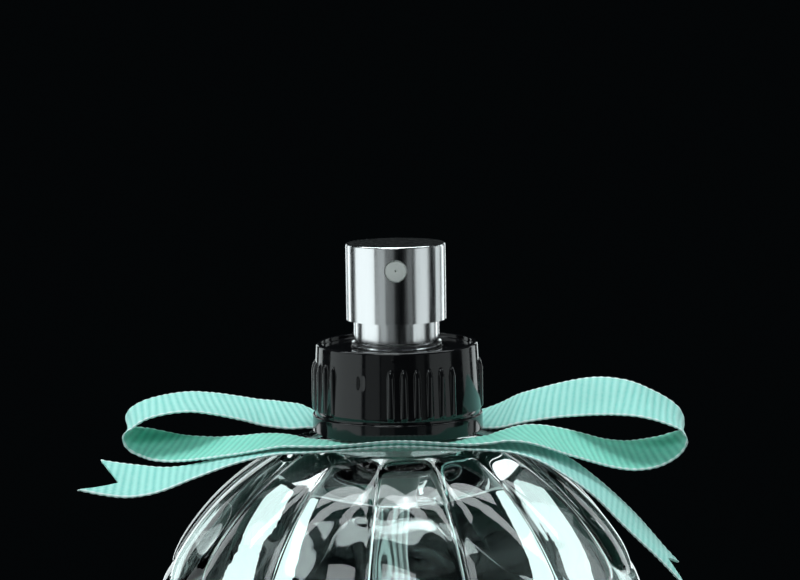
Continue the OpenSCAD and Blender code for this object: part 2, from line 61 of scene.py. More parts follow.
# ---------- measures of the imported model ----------

def span(node):
    """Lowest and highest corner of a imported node, as two arrays in metres."""
    low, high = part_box(node)
    return np.array(low), np.array(high)


GLASS_HIGH = span("glass_bottle")[1]
FILL_HIGH = span("perfume_fill")[1]
COLLAR_LOW, COLLAR_HIGH = span("collar")
TUBE_LOW, TUBE_HIGH = span("dip_tube")
HOUSING_LOW = span("pump_housing")[0]
NOZZLE_LOW, NOZZLE_HIGH = span("nozzle_insert")
BODY_R = 36.9 * MM
BODY_Z = 31.0 * MM
SHOULDER_Z = 65.0 * MM
GLASS_WALL = 8.4 * MM


# ---------- settings ----------

class BottleSettings(bpy.types.PropertyGroup):
    """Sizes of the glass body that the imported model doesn't measure directly."""

    lobes: bpy.props.IntProperty(
        name="Lobes", description="Rounded lobes around the body", default=14, min=6, max=24)
    lobe_turn: bpy.props.FloatProperty(
        name="Lobe turn", description="Angle from the front to the first lobe",
        default=math.radians(4.3), subtype="ANGLE")
    lobe_tip: bpy.props.FloatProperty(
        name="Lobe tip", description="Angle from the upright axis to the tip of a lobe",
        default=math.radians(25.5), subtype="ANGLE")
    dome_length: bpy.props.FloatProperty(
        name="Dome length", description="Length of the rounded end of a lobe",
        default=0.0045, subtype="DISTANCE", unit="LENGTH")
    valley_depth: bpy.props.FloatProperty(
        name="Valley depth", description="How far the valleys lie below the lobes' crests",
        default=0.0015, subtype="DISTANCE", unit="LENGTH")
    crease: bpy.props.FloatProperty(
        name="Crease", description="How softly the moulded creases are rounded",
        default=0.00035, subtype="DISTANCE", unit="LENGTH")
    wall_waves: bpy.props.FloatProperty(
        name="Wall waves", description="Unevenness of the cavity's wall",
        default=0.0002, subtype="DISTANCE", unit="LENGTH")
    glass_tint: bpy.props.FloatVectorProperty(
        name="Glass tint", description="Colour of the clear glass",
        default=(0.93, 0.985, 0.975), subtype="COLOR", min=0, max=1)
    perfume_tint: bpy.props.FloatVectorProperty(
        name="Perfume tint", description="Colour of the perfume",
        default=(0.92, 0.98, 0.97), subtype="COLOR", min=0, max=1)


class RibbonSettings(bpy.types.PropertyGroup):
    """Sizes and colours of the ribbed ribbon."""

    width: bpy.props.FloatProperty(
        name="Width", description="Width of the ribbon", default=0.007,
        subtype="DISTANCE", unit="LENGTH")
    thickness: bpy.props.FloatProperty(
        name="Thickness", description="Thickness of the ribbon", default=0.00036,
        subtype="DISTANCE", unit="LENGTH")
    rib_pitch: bpy.props.FloatProperty(
        name="Rib pitch", description="Length of ribbon from one rib to the next",
        default=0.00105, subtype="DISTANCE", unit="LENGTH")
    notch: bpy.props.FloatProperty(
        name="Notch", description="Depth of the notch in a tail's end", default=0.0052,
        subtype="DISTANCE", unit="LENGTH")
    # The inner colours are a painted copy for light shining through the cloth onto the loops'
    # inner face: darker and greener than the outer face.
    backlit_inner_thread: bpy.props.FloatVectorProperty(
        name="Inner thread", description="Colour of the ribs on the loops' inner face",
        default=(0.22, 0.84, 0.66), subtype="COLOR", min=0, max=1)
    backlit_inner_groove: bpy.props.FloatVectorProperty(
        name="Inner groove", description="Colour between the ribs on the inner face",
        default=(0.10, 0.62, 0.47), subtype="COLOR", min=0, max=1)
    # Painted light: the crest colour carries a painted highlight on the ribs, the groove colour
    # painted shade between them.
    lit_thread: bpy.props.FloatVectorProperty(
        name="Thread", description="Colour of the ribbon's ribs",
        default=(0.44, 0.92, 0.83), subtype="COLOR", min=0, max=1)
    shaded_groove: bpy.props.FloatVectorProperty(
        name="Groove", description="Colour between the ribs",
        default=(0.17, 0.66, 0.58), subtype="COLOR", min=0, max=1)
    selvedge: bpy.props.FloatVectorProperty(
        name="Selvedge", description="Colour of the woven edges",
        default=(0.84, 0.97, 0.95), subtype="COLOR", min=0, max=1)


class CollarSettings(bpy.types.PropertyGroup):
    """Sizes of the collar's ribs."""

    ribs: bpy.props.IntProperty(
        name="Ribs", description="Ribs in each of the four groups", default=6, min=2, max=9)
    rib_step: bpy.props.FloatProperty(
        name="Rib step", description="Angle from one rib to the next",
        default=math.radians(9), subtype="ANGLE")
    rib_half: bpy.props.FloatProperty(
        name="Rib half width", description="Half the width of a rib at its foot",
        default=0.0005, subtype="DISTANCE", unit="LENGTH")
    group_turn: bpy.props.FloatProperty(
        name="Group turn", description="Angle from the front to the middle of the first group",
        default=math.radians(18), subtype="ANGLE")


class FinishSettings(bpy.types.PropertyGroup):
    """Colours of the metal and plastic pieces."""

    metal: bpy.props.FloatVectorProperty(
        name="Metal", description="Colour of the bright aluminium",
        default=(0.80, 0.81, 0.82), subtype="COLOR", min=0, max=1)
    collar: bpy.props.FloatVectorProperty(
        name="Collar", description="Colour of the gloss collar",
        default=(0.006, 0.006, 0.007), subtype="COLOR", min=0, max=1)
    nozzle: bpy.props.FloatVectorProperty(
        name="Nozzle", description="Colour of the nozzle",
        default=(0.92, 0.97, 0.92), subtype="COLOR", min=0, max=1)
    plastic: bpy.props.FloatVectorProperty(
        name="Plastic", description="Colour of the pump's natural plastic",
        default=(0.78, 0.82, 0.80), subtype="COLOR", min=0, max=1)


class StageSettings(bpy.types.PropertyGroup):
    """The floor, the lights and the camera."""

    pitch: bpy.props.FloatProperty(
        name="Pitch", description="How far the camera looks down",
        default=math.radians(6.8), subtype="ANGLE")
    roll: bpy.props.FloatProperty(
        name="Roll", description="How far the camera leans", default=math.radians(-0.8),
        subtype="ANGLE")
    distance: bpy.props.FloatProperty(
        name="Distance", description="From the camera to the bottle's axis",
        default=0.3276, subtype="DISTANCE", unit="LENGTH")
    aim_height: bpy.props.FloatProperty(
        name="Aim height", description="Height on the axis that the camera looks at",
        default=0.0859, subtype="DISTANCE", unit="LENGTH")
    aim_side: bpy.props.FloatProperty(
        name="Aim side", description="How far beside the axis the camera looks",
        default=0.00056, subtype="DISTANCE", unit="LENGTH")
    lens: bpy.props.FloatProperty(
        name="Lens", description="Focal length in millimetres", default=105.3, min=20)
    floor_radius: bpy.props.FloatProperty(
        name="Floor radius", description="Radius of the round pale floor",
        default=0.062, subtype="DISTANCE", unit="LENGTH")


SETTINGS = (
    ("atomiser_bottle", BottleSettings),
    ("atomiser_ribbon", RibbonSettings),
    ("atomiser_collar", CollarSettings),
    ("atomiser_finish", FinishSettings),
    ("atomiser_stage", StageSettings),
)


# ---------- meshes ----------

def mesh_from_grid(name, points, wrap=False, pole_start=False, pole_end=False, uv=None):
    """A mesh on a grid of points (rows, columns, 3).

    wrap joins the last column to the first. A pole shrinks the first or last row to one
    point, the row's mean. uv gives each grid point its place on the UV map.
    """
    rows, cols, _ = points.shape
    first = 1 if pole_start else 0
    last = rows - 1 if pole_end else rows
    body = points[first:last].reshape(-1, 3)
    verts = [body]
    steps = np.arange(cols if wrap else cols - 1)
    after = (steps + 1) % cols
    base = np.arange(last - first - 1)[:, None] * cols
    quads = np.stack(
        [base + steps, base + after, base + cols + after, base + cols + steps], -1
    ).reshape(-1, 4)
    tris = []
    count = len(body)
    if pole_start:
        verts.append(points[0].mean(0)[None])
        tris.append(np.stack([np.full(len(steps), count), after, steps], -1))
        count += 1
    if pole_end:
        verts.append(points[-1].mean(0)[None])
        top = (last - first - 1) * cols
        tris.append(np.stack([np.full(len(steps), count), top + steps, top + after], -1))
        count += 1
    loops = np.concatenate([quads.ravel()] + [t.ravel() for t in tris]).astype(np.int32)
    sizes = np.concatenate(
        [np.full(len(quads), 4)] + [np.full(len(t), 3) for t in tris]).astype(np.int32)
    mesh = bpy.data.meshes.new(name)
    mesh.vertices.add(count)
    mesh.vertices.foreach_set("co", np.concatenate(verts).astype(np.float32).ravel())
    mesh.loops.add(len(loops))
    mesh.loops.foreach_set("vertex_index", loops)
    mesh.polygons.add(len(sizes))
    starts = np.concatenate([[0], np.cumsum(sizes)[:-1]]).astype(np.int32)
    mesh.polygons.foreach_set("loop_start", starts)
    mesh.polygons.foreach_set("use_smooth", np.ones(len(sizes), bool))
    if uv is not None:
        flat = uv[first:last].reshape(-1, 2)
        layer = mesh.uv_layers.new(name="cloth")
        layer.data.foreach_set("uv", flat[loops].astype(np.float32).ravel())
    mesh.update(calc_edges=True)
    mesh.validate()
    piece = bpy.data.objects.new(name, mesh)
    bpy.context.scene.collection.objects.link(piece)
    return piece


def turned(profile, columns):
    """Points of a surface of revolution: each (radius, height) goes round the Z axis."""
    around = np.linspace(0, 2 * math.pi, columns, endpoint=False)
    r, z = profile[:, 0][:, None], profile[:, 1][:, None]
    return np.stack(
        [r * np.sin(around), -r * np.cos(around), z + 0 * around], -1)


def blend_up(a, b, soft):
    """The larger of a and b, rounded where they cross by about soft."""
    return 0.5 * (a + b + np.sqrt((a - b) ** 2 + soft ** 2))


def arc(centre, radius, start, end, count):
    """Points on a circle in the (radius, height) plane, angles in degrees from +r."""
    angle = np.radians(np.linspace(start, end, count))
    return np.stack(
        [centre[0] + radius * np.cos(angle), centre[1] + radius * np.sin(angle)], -1)


def line(start, end, count):
    """Evenly spaced points from start to end, without the end."""
    share = np.linspace(0, 1, count, endpoint=False)[:, None]
    return np.array(start) * (1 - share) + np.array(end) * share


# ---------- material helpers ----------

class Shade:
    """A new material with its node tree and Principled shader at hand."""

    def __init__(self, name, color, roughness, **sockets):
        self.material = bpy.data.materials.new(name)
        self.material.use_nodes = True
        self.tree = self.material.node_tree
        self.shader = self.tree.nodes["Principled BSDF"]
        self.shader.inputs["Base Color"].default_value = (*color, 1)
        self.shader.inputs["Roughness"].default_value = roughness
        for socket, value in sockets.items():
            self.shader.inputs[socket.replace("_", " ")].default_value = value

    def node(self, kind, **values):
        made = self.tree.nodes.new(kind)
        for key, value in values.items():
            if key in made.bl_rna.properties:
                setattr(made, key, value)
            else:
                made.inputs[key.replace("_", " ")].default_value = value
        return made

    def link(self, source, target):
        self.tree.links.new(source, target)

    def group(self, tree, **values):
        made = self.tree.nodes.new("ShaderNodeGroup")
        made.node_tree = tree
        for key, value in values.items():
            made.inputs[key.replace("_", " ")].default_value = value
        return made

    def bump(self, height, strength, distance):
        made = self.node("ShaderNodeBump", Strength=strength, Distance=distance)
        self.link(height, made.inputs["Height"])
        self.link(made.outputs["Normal"], self.shader.inputs["Normal"])
        return made


def new_group(name, inputs, outputs):
    """A shader node group with the given sockets; returns it with its two end nodes."""
    tree = bpy.data.node_groups.new(name, "ShaderNodeTree")
    for label, kind, default in inputs:
        socket = tree.interface.new_socket(label, in_out="INPUT", socket_type=kind)
        socket.default_value = default
    for label, kind in outputs:
        tree.interface.new_socket(label, in_out="OUTPUT", socket_type=kind)
    return tree, tree.nodes.new("NodeGroupInput"), tree.nodes.new("NodeGroupOutput")


def handled_group():
    """Fine handling marks: noise that moves roughness between Low and High."""
    tree, given, result = new_group(
        "handled_surface",
        [("Scale", "NodeSocketFloat", 300.0), ("Low", "NodeSocketFloat", 0.05),
         ("High", "NodeSocketFloat", 0.15), ("Stretch", "NodeSocketVector", (1, 1, 1))],
        [("Roughness", "NodeSocketFloat"), ("Height", "NodeSocketFloat")])
    links = tree.links
    place = tree.nodes.new("ShaderNodeTexCoord")
    spread = tree.nodes.new("ShaderNodeVectorMath")
    spread.operation = "MULTIPLY"
    noise = tree.nodes.new("ShaderNodeTexNoise")
    noise.inputs["Detail"].default_value = 4
    noise.inputs["Roughness"].default_value = 0.6
    ramp = tree.nodes.new("ShaderNodeMapRange")
    ramp.inputs["From Min"].default_value = 0.3
    ramp.inputs["From Max"].default_value = 0.7
    links.new(place.outputs["Object"], spread.inputs[0])
    links.new(given.outputs["Stretch"], spread.inputs[1])
    links.new(spread.outputs[0], noise.inputs["Vector"])
    links.new(given.outputs["Scale"], noise.inputs["Scale"])
    links.new(noise.outputs["Fac"], ramp.inputs["Value"])
    links.new(given.outputs["Low"], ramp.inputs["To Min"])
    links.new(given.outputs["High"], ramp.inputs["To Max"])
    links.new(ramp.outputs["Result"], result.inputs["Roughness"])
    links.new(noise.outputs["Fac"], result.inputs["Height"])
    return tree


def handled(shade, low, high, scale, stretch=(1, 1, 1), height=0.0, distance=0.00002):
    """Adds handling marks to a material's roughness, and a fine bump if height is set."""
    tree = bpy.data.node_groups.get("handled_surface") or handled_group()
    marks = shade.group(tree, Scale=scale, Low=low, High=high, Stretch=stretch)
    shade.link(marks.outputs["Roughness"], shade.shader.inputs["Roughness"])
    if height:
        shade.bump(marks.outputs["Height"], height, distance)
    return shade.material


def dress(node, material):
    """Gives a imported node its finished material."""
    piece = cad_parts[node]
    piece.data.materials.clear()
    piece.data.materials.append(material)


# ---------- bottle ----------

def body_radius(around, z, sets):
    """Radius of the moulded body: the round core, the lobes that stand on it, the shoulder.

    A lobe's section is the upper half of a flat ellipse, as wide as one lobe and as high
    as the valleys are deep. Near its two ends the distance to the end counts as sideways
    distance, so the lobe closes in a round dome.
    """
    height = z - BODY_Z
    pitch = 2 * math.pi / sets.lobes
    turn = (around - sets.lobe_turn + pitch / 2) % pitch - pitch / 2
    polar = np.arccos(np.clip(np.abs(height) / BODY_R, 0, 1))
    from_tip = (math.pi / 2 - polar - sets.lobe_tip) * BODY_R
    closing = np.clip(1 - from_tip / sets.dome_length, 0, 2)
    off = np.sqrt((turn / (pitch / 2)) ** 2 + closing ** 2)
    depth = sets.valley_depth * np.clip(1 - 0.55 * closing, 0.3, 1)
    swell = depth * np.sqrt(np.maximum(1 - off ** 2, 0))
    crest = np.sqrt(np.maximum(BODY_R ** 2 - height ** 2, 0))
    core = crest - depth
    shoulder = 0.0145 + (SHOULDER_Z - z) * 1.25
    shoulder = np.where(z > SHOULDER_Z - 0.006, shoulder, 0)
    return blend_up(core + swell, shoulder, sets.crease) - 0.06 * sets.crease


def wall_waves(points, sets):
    """Adds the cavity wall's unevenness: three slow sine waves round and up the wall, which
    fade out at the neck's bore."""
    x, y, z = points[..., 0], points[..., 1], points[..., 2]
    around = np.arctan2(x, -y)
    radius = np.hypot(x, y)
    height = (z - BODY_Z) / MM
    waves = (np.sin(5 * around + 0.31 * height) + 0.8 * np.sin(9 * around - 0.47 * height + 1.3)
             + 0.6 * np.sin(14 * around + 0.9 * height + 2.1))
    share = sets.wall_waves * waves * np.clip((radius - 0.010) / 0.008, 0, 1)
    grow = 1 + share / BODY_R
    return np.stack([x * grow, y * grow, z], -1)


def bottle_points(sets):
    """Closed skin of the bottle, from the middle of the base, up the lobed body, over the
    neck and down the bore to the bottom of the cavity."""
    per_lobe = 36
    columns = per_lobe * sets.lobes
    around = np.linspace(0, 2 * math.pi, columns, endpoint=False)[None]
    edge = 0.0009
    rows = []

    def ring(radius, z):
        radius = np.broadcast_to(radius, (np.size(z), columns))
        z = np.broadcast_to(np.reshape(z, (-1, 1)), radius.shape)
        rows.append(np.stack([radius * np.sin(around), -radius * np.cos(around), z], -1))

    foot = body_radius(around, edge, sets) - edge
    share = np.array([0, 0.2, 0.4, 0.55, 0.62, 0.68, 0.74, 0.8, 0.9, 1.0])[:, None]
    punt = 0.0006 * np.clip((0.72 - share[:, 0]) / 0.1, 0, 1)
    ring(share * foot, punt)
    bend = np.radians(np.linspace(15, 90, 6))[:, None]
    ring(body_radius(around, edge * (1 - np.cos(bend)), sets) - edge * (1 - np.sin(bend)),
         edge * (1 - np.cos(bend[:, 0])))
    polar = np.radians(np.linspace(145.2, 25.0, 170))[1:]
    z = BODY_Z + BODY_R * np.cos(polar)
    z = np.concatenate([z, np.linspace(z[-1], SHOULDER_Z - 0.0003, 24)[1:]])
    ring(body_radius(around, z[:, None], sets), z)
    neck_r, bead_r, bore_r = 0.0066, 0.0075, 0.00475
    neck_top = GLASS_HIGH[2]
    bead_z = neck_top - 0.003
    cavity_r = BODY_R - GLASS_WALL
    meet = BODY_Z + math.sqrt(cavity_r ** 2 - (bore_r + 0.0012) ** 2)
    profile = np.concatenate([
        line((0.0144, SHOULDER_Z - 0.0001), (0.0139, SHOULDER_Z), 3),
        line((0.0139, SHOULDER_Z), (neck_r + 0.0008, SHOULDER_Z), 10),
        arc((neck_r + 0.0008, SHOULDER_Z + 0.0008), 0.0008, -90, -180, 6),
        line((neck_r, SHOULDER_Z + 0.001), (neck_r, bead_z - 0.0009), 6),
        line((neck_r, bead_z - 0.0009), (bead_r, bead_z), 4),
        line((bead_r, bead_z), (bead_r, neck_top - 0.0003), 6),
        arc((bead_r - 0.0003, neck_top - 0.0003), 0.0003, 0, 90, 5),
        line((bead_r - 0.0004, neck_top), (bore_r + 0.0003, neck_top), 5),
        arc((bore_r + 0.0003, neck_top - 0.0003), 0.0003, 90, 180, 5),
        line((bore_r, neck_top - 0.0004), (bore_r, meet + 0.0016), 24),
        arc((bore_r + 0.0014, meet + 0.0012), 0.0014, 180, 250, 7),
    ])
    lip = profile[-1]
    start = math.asin(min(1, (lip[0] + 0.0006) / cavity_r))
    inner = np.linspace(start, math.pi, 90)
    inside = np.stack(
        [cavity_r * np.sin(inner), BODY_Z + cavity_r * np.cos(inner)], -1)
    profile = np.concatenate([profile, inside])
    ring(profile[:, 0][:, None], profile[:, 1])
    rows[-1][-len(inside):] = wall_waves(rows[-1][-len(inside):], sets)
    return np.concatenate(rows)


def glass_material(sets):
    shade = Shade("clear_glass", sets.glass_tint, 0.0, IOR=1.5, Transmission_Weight=1.0)
    place = shade.node("ShaderNodeTexCoord")
    ripple = shade.node("ShaderNodeTexNoise", Scale=90.0, Detail=1.5)
    shade.link(place.outputs["Object"], ripple.inputs["Vector"])
    shade.bump(ripple.outputs["Fac"], 0.35, 0.0002)
    return shade.material


class ATOMISER_OT_blow_bottle(bpy.types.Operator):
    """Moulds the lobed glass bottle"""

    bl_idname = "atomiser.blow_bottle"
    bl_label = "Blow the bottle"

    def execute(self, context):
        sets = context.scene.atomiser_bottle
        bottle = mesh_from_grid(
            "lobed_bottle", bottle_points(sets), wrap=True, pole_start=True, pole_end=True)
        bottle.data.materials.append(glass_material(sets))
        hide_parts("glass_bottle")
        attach(bottle, "bottle")
        return {"FINISHED"}


WALL_ROWS = 90


def perfume_profile():
    """The perfume's outline: up the cavity wall, over the surface with its raised rim, and
    down beside the pump and the dip tube to the tube's mouth."""
    wall = BODY_R - GLASS_WALL + 0.00004
    top = FILL_HIGH[2]
    rise = 0.0005
    end = math.acos((top + rise - BODY_Z) / wall)
    angle = np.linspace(math.pi, end, WALL_ROWS)
    side = np.stack([wall * np.sin(angle), BODY_Z + wall * np.cos(angle)], -1)
    edge = side[-1, 0]
    away = np.linspace(0, 1, 14)[1:]
    tail_r = 0.00213
    tube_r = (TUBE_HIGH[0] - TUBE_LOW[0]) / 2 - 0.00002
    surface_r = edge + (0.0052 - edge) * away ** 1.6
    surface_z = top + rise * np.exp(-(edge - surface_r) / 0.0011)
    tail_z = HOUSING_LOW[2]
    return np.concatenate([
        side,
        np.stack([surface_r, surface_z], -1),
        line((0.0045, top), (tail_r + 0.0004, top + 0.00008), 6),
        np.array([[tail_r, top + 0.0003]]),
        line((tail_r, top - 0.0001), (tail_r, tail_z), 4),
        line((tail_r, tail_z - 0.00002), (tube_r, tail_z - 0.00002), 2),
        line((tube_r, tail_z - 0.00004), (tube_r, TUBE_LOW[2]), 40),
        np.array([[tube_r, TUBE_LOW[2]], [0.0, TUBE_LOW[2]]]),
    ])


class ATOMISER_OT_pour_perfume(bpy.types.Operator):
    """Fills the bottle with perfume"""

    bl_idname = "atomiser.pour_perfume"
    bl_label = "Pour the perfume"

    def execute(self, context):
        sets = context.scene.atomiser_bottle
        points = turned(perfume_profile(), 504)
        points[:WALL_ROWS] = wall_waves(points[:WALL_ROWS], sets)
        perfume = mesh_from_grid(
            "perfume", points, wrap=True, pole_start=True, pole_end=True)
        shade = Shade("perfume", sets.perfume_tint, 0.0, IOR=1.36, Transmission_Weight=1.0)
        place = shade.node("ShaderNodeTexCoord")
        swirl = shade.node("ShaderNodeTexNoise", Scale=40.0, Detail=1.0)
        shade.link(place.outputs["Object"], swirl.inputs["Vector"])
        shade.bump(swirl.outputs["Fac"], 0.1, 0.0001)
        perfume.data.materials.append(shade.material)
        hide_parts("perfume_fill")
        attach(perfume, "bottle")
        return {"FINISHED"}


# ---------- pump, collar and spray head ----------

class ATOMISER_OT_finish_pump(bpy.types.Operator):
    """Finishes the pump's plastic, steel and rubber pieces"""

    bl_idname = "atomiser.finish_pump"
    bl_label = "Finish the pump"

    def execute(self, context):
        sets = context.scene.atomiser_finish
        plastic = Shade("natural_plastic", sets.plastic, 0.35, Subsurface_Weight=0.15)
        plastic.shader.inputs["Subsurface Radius"].default_value = (0.002, 0.002, 0.002)
        plastic = handled(plastic, 0.28, 0.42, 900, height=0.15)
        tube = Shade("clear_tube", (0.86, 0.93, 0.92), 0.08, IOR=1.45,
                     Transmission_Weight=0.85)
        tube = handled(tube, 0.05, 0.14, 700)
        steel = Shade("spring_steel", (0.56, 0.57, 0.58), 0.25, Metallic=1.0)
        steel = handled(steel, 0.18, 0.32, 1500)
        rubber = handled(Shade("seal_rubber", (0.03, 0.03, 0.032), 0.6), 0.5, 0.7, 1200,
                         height=0.3)
        gasket = handled(Shade("neck_gasket", (0.62, 0.63, 0.60), 0.6), 0.5, 0.7, 900,
                         height=0.3)
        for node in ("pump_housing", "plunger_rod", "piston", "pump_stem",
                     "housing_retainer", "actuator_insert"):
            dress(node, plastic)
        for node in ("return_spring", "precompression_spring", "inlet_ball"):
            dress(node, steel)
        dress("dip_tube", tube)
        dress("stem_gasket", rubber)
        dress("neck_gasket", gasket)
        return {"FINISHED"}


def collar_points(sets):
    """Skin of the collar: a turned outline whose outer wall carries rounded ribs.

    The outline runs from the inner sleeve's foot, under the floor and up the hollow, down
    to the base band, up the leaning wall, over the rim and across the floor to its hole.
    A rib lifts the wall by a rounded bump, whose height falls to nothing at its two ends.
    """
    outer = (COLLAR_HIGH[0] - COLLAR_LOW[0]) / 2 - 0.0002
    top, foot = COLLAR_HIGH[2], COLLAR_LOW[2]
    floor = top - 0.00055
    under = floor - 0.0005
    band_top = foot + 0.0024
    wall_foot = band_top + 0.0007
    top_r = outer - 0.0006
    soft = 0.0002
    outline = np.concatenate([
        line((0.0080, foot + 0.0012), (0.0089, foot + 0.0012), 2),
        line((0.0089, foot + 0.0012), (0.0089, under), 2),
        line((0.0089, under), (0.0104, under), 2),
        line((0.0104, under), (0.0104, foot), 3),
        line((0.0104, foot), (outer - soft, foot), 3),
        arc((outer - soft, foot + soft), soft, -90, 0, 5),
        line((outer, foot + 2 * soft), (outer, band_top - 2 * soft), 4),
        arc((outer - soft, band_top - soft), soft, 0, 90, 5),
        arc((outer - 0.00025, band_top + 0.0001), 0.0001, -90, -180, 4),
        line((outer - 0.00033, band_top + 0.0002), (outer - 0.00033, wall_foot - 0.0002), 3),
        line((outer - 0.00012, wall_foot), (top_r, top - 0.00035), 64),
        arc((top_r - 0.00035, top - 0.00035), 0.00035, 0, 90, 6),
        arc((top_r - 0.00072, top - 0.00008), 0.00008, 90, 180, 3),
        line((top_r - 0.0008, top - 0.0001), (top_r - 0.0008, floor + 0.0001), 3),
        arc((top_r - 0.0009, floor + 0.0001), 0.0001, 0, -90, 3),
        line((top_r - 0.0012, floor), (0.0066, floor), 6),
        arc((0.0065, floor - 0.0001), 0.0001, 90, 180, 3),
        line((0.0064, floor - 0.0002), (0.0064, under), 2),
        line((0.0064, under), (0.0080, under), 3),
        line((0.0080, under), (0.0080, foot + 0.0012), 2),
    ])
    outline = np.concatenate([outline, outline[:1]])
    points = turned(outline, 1080)
    radius = np.hypot(points[..., 0], points[..., 1])
    around = np.arctan2(points[..., 0], -points[..., 1])
    height = points[..., 2]
    group = (around - sets.group_turn + math.pi / 4) % (math.pi / 2) - math.pi / 4
    place = group / sets.rib_step + (sets.ribs - 1) / 2
    nearest = np.clip(np.round(place), 0, sets.ribs - 1)
    beside = (place - nearest) * sets.rib_step * outer
    tip = top - 0.0024
    fade = np.clip((tip - height) / 0.0012, 0, 1) * np.clip((height - wall_foot) / 0.0003, 0, 1)
    half = sets.rib_half * (0.35 + 0.65 * np.sqrt(fade))
    bump = np.sqrt(np.clip(1 - (beside / half) ** 2, 0, 1)) * np.sqrt(fade)
    crest = outer + 0.0002
    lift = np.maximum(0, crest - radius - 0.00012) * bump
    on_wall = (radius > top_r - 0.00005) & (height >= wall_foot)
    mark = np.exp(-((around + math.radians(25.5)) * outer / 0.0005) ** 4
                  - ((height - top + 0.0042) / 0.0008) ** 4)
    gate = np.exp(-((around + math.radians(2)) * outer / 0.00035) ** 2
                  - ((height - top + 0.0009) / 0.0003) ** 2)
    radius = radius + on_wall * (lift - 0.00010 * mark + 0.00008 * gate)
    return np.stack([radius * np.sin(around), -radius * np.cos(around), height], -1)


def nozzle_points():
    """The nozzle: an outline turned round the spray direction, its face slightly domed,
    with a fine orifice in the middle and a hollow behind."""
    low, high = NOZZLE_LOW, NOZZLE_HIGH
    radius = (high[0] - low[0]) / 2
    middle = (low[2] + high[2]) / 2
    front, back = low[1], high[1]
    edge = 0.00015
    dome = np.linspace(0.00016, radius - edge, 12)
    outline = np.concatenate([
        np.array([[0.0001, back - 0.0004], [0.0001, front + 0.0002], [0.00013, front + 0.00003]]),
        np.stack([dome, front + 0.00012 * (dome / radius) ** 2], -1),
        np.array([[radius - edge * 0.3, front + 0.00018], [radius, front + 0.0003]]),
        line((radius, front + 0.0004), (radius, back), 6),
        np.array([[radius, back], [radius * 0.5, back], [0.00001, back]]),
    ])
    turn = np.linspace(0, 2 * math.pi, 96, endpoint=False)
    r, y = outline[:, 0][:, None], outline[:, 1][:, None]
    return np.stack([r * np.cos(turn), y + 0 * turn, middle + r * np.sin(turn)], -1)


class ATOMISER_OT_finish_collar(bpy.types.Operator):
    """Finishes the gloss collar and the bright ferrule"""

    bl_idname = "atomiser.finish_collar"
    bl_label = "Finish the collar"

    def execute(self, context):
        sets = context.scene.atomiser_finish
        gloss = Shade("black_gloss", sets.collar, 0.1, Coat_Weight=0.15)
        gloss.shader.inputs["Specular IOR Level"].default_value = 0.3
        gloss.shader.inputs["Coat Roughness"].default_value = 0.04
        collar = mesh_from_grid(
            "ribbed_collar", collar_points(context.scene.atomiser_collar), wrap=True)
        collar.data.materials.append(
            handled(gloss, 0.06, 0.16, 260, stretch=(0.4, 0.4, 5), height=0.12))
        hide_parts("collar")
        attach(collar, "bottle")
        dress("crimp_ferrule", metal_material(sets, "turret_metal"))
        return {"FINISHED"}


def metal_material(sets, name):
    """Bright drawn aluminium: faint upright draw lines in its gloss."""
    shade = Shade(name, sets.metal, 0.2, Metallic=1.0)
    return handled(shade, 0.13, 0.26, 260, stretch=(6, 6, 0.25), height=0.05)


class ATOMISER_OT_finish_spray_head(bpy.types.Operator):
    """Finishes the spray head's shell and nozzle"""

    bl_idname = "atomiser.finish_spray_head"
    bl_label = "Finish the spray head"

    def execute(self, context):
        sets = context.scene.atomiser_finish
        dress("actuator_shell", metal_material(sets, "shell_metal"))
        nozzle = mesh_from_grid(
            "nozzle", nozzle_points(), wrap=True, pole_start=True, pole_end=True)
        shade = Shade("nozzle_plastic", sets.nozzle, 0.4, Subsurface_Weight=0.3)
        shade.shader.inputs["Subsurface Radius"].default_value = (0.001, 0.001, 0.001)
        nozzle.data.materials.append(handled(shade, 0.3, 0.5, 900, height=0.05))
        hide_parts("nozzle_insert")
        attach(nozzle, "spray_head")
        return {"FINISHED"}


# ---------- ribbon ----------
# Each station is (x, y, height above the glass shoulder, tilt, turn): millimetres and
# degrees. Tilt lifts the ribbon's back edge, turn swings that edge towards +X.

STRAND_Y = 10.4
TAIL_Z = 0.25
LOOP_Z = 0.75
BACK_Z = 0.3

RIGHT_LOOP = (
    (0, -STRAND_Y, LOOP_Z, 0, 0), (5, -STRAND_Y + 0.05, LOOP_Z, 0, 0),
    (9, -STRAND_Y + 0.4, 0.8, 0, 0), (12.2, -9.6, 1.1, 0, 0), (14.6, -9, 1.4, 2, 0),
    (17.3, -7.8, 1.3, 8, 0), (20.3, -6, 0.7, 15, 0), (23.4, -4.4, -0.3, 20, 0),
    (26.5, -3, -1.4, 23, 0), (29.6, -2, -2.4, 22, 0), (32.8, -1.1, -2.9, 22, 0),
    (35.9, -0.4, -2.6, 23, 0), (38.6, 0, -1.6, 20, 2), (40.2, 0.1, -0.1, 14, 4),
    (39.6, 0.1, 1.9, 18, 4), (37.3, 0, 3.4, 26, 2), (34.2, 0, 4.6, 32, 0),
    (31.1, 0.5, 5.2, 36, 0), (28, 1.1, 5.3, 37, 0), (24.6, 2.1, 4.9, 35, 0),
    (21, 3.4, 4.1, 31, 0), (17.6, 4.9, 3.1, 25, 0), (14.3, 7.2, 1.8, 16, 0),
    (10.6, 9.4, 0.9, 5, 0), (6, STRAND_Y - 0.1, BACK_Z, 0, 0), (0, STRAND_Y, BACK_Z, 0, 0),
)
